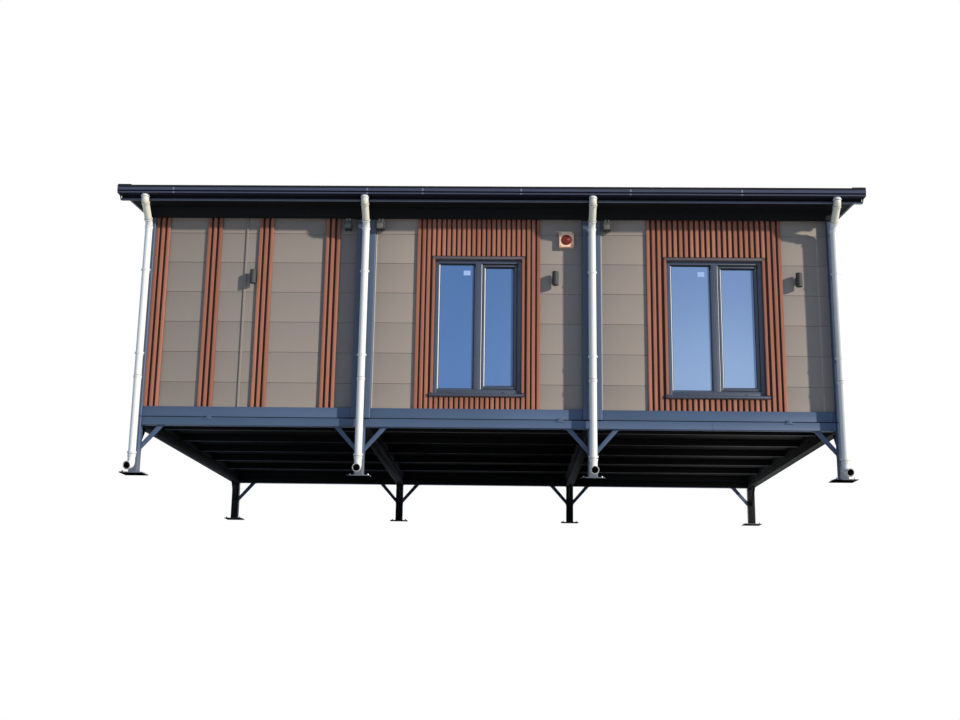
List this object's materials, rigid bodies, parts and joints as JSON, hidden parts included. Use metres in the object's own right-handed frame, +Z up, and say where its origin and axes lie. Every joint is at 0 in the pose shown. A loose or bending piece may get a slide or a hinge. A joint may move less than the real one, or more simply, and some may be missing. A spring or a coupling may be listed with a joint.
{
  "type": "modular home",
  "caption": "Single-storey home of steel-framed modules side by side on braced steel posts, with panel and slat cladding and a mono-pitch roof.",
  "frame": {"origin": "ground level under the middle of the house, at the foot plates' undersides", "axes": "+X along the front towards the right end seen from outside, +Y from the front to the back, +Z up"},
  "size_m": [9.81, 6.98, 4.3803],
  "materials": {
    "frame_steel": "satin anthracite paint",
    "foot_steel": "satin anthracite paint, weathered",
    "cladding": "matt taupe panel coating",
    "slats": "matt terracotta-brown composite",
    "wall_core": "plain white inner face",
    "floor": "plain board",
    "joists": "galvanised",
    "pads": "black",
    "window_frame": "anthracite foil",
    "glass": "clear, slightly reflective",
    "sill": "satin anthracite paint",
    "door": "satin anthracite paint",
    "handle": "brushed",
    "roof_edge": "dark blue-grey, semi-gloss",
    "roof_sheet": "dark blue-grey",
    "roof_core": "dark underside",
    "soffit": "near black",
    "pipe_white": "white",
    "lamp_black": "matt black",
    "siren_white": "warm white",
    "siren_red": "dark red"
  },
  "bodies": {
    "root": {"support_posts": "frame_steel", "foot_plates": "foot_steel", "support_beams": "frame_steel", "cross_beams": "frame_steel", "knee_braces": "frame_steel", "bearing_pads": "pads", "corner_columns": "frame_steel", "base_rails": "frame_steel", "side_base_rails": "frame_steel", "floor_joists": "joists", "floor_decks": "floor", "front_wall": "wall_core", "rear_wall": "wall_core", "end_walls": "wall_core", "front_cladding": "cladding", "rear_cladding": "cladding", "end_cladding": "cladding", "fluted_slats": "slats", "joiner_trims": "cladding", "window_frames": "window_frame", "window_sashes": "window_frame", "window_glass": "glass", "opening_trims": "slats", "window_sills": "sill", "door_frame": "door", "door_leaf": "door", "door_handle": "handle", "ceilings": "wall_core", "top_rails": "frame_steel", "end_top_rails": "frame_steel", "front_wall_plate": "soffit", "gable_walls": "cladding", "upper_rear_wall": "cladding", "eave_soffit": "soffit", "roof_slab": "roof_core", "roof_sheet": "roof_sheet", "fascias": "roof_edge", "barge_boards": "roof_edge", "gutter": "roof_edge", "downpipes": "pipe_white", "pipe_clips": "pipe_white", "wall_lights": "lamp_black", "alarm_siren": "siren_white", "siren_lens": "siren_red", "flood_lamps": "lamp_black"}
  },
  "joints": []
}
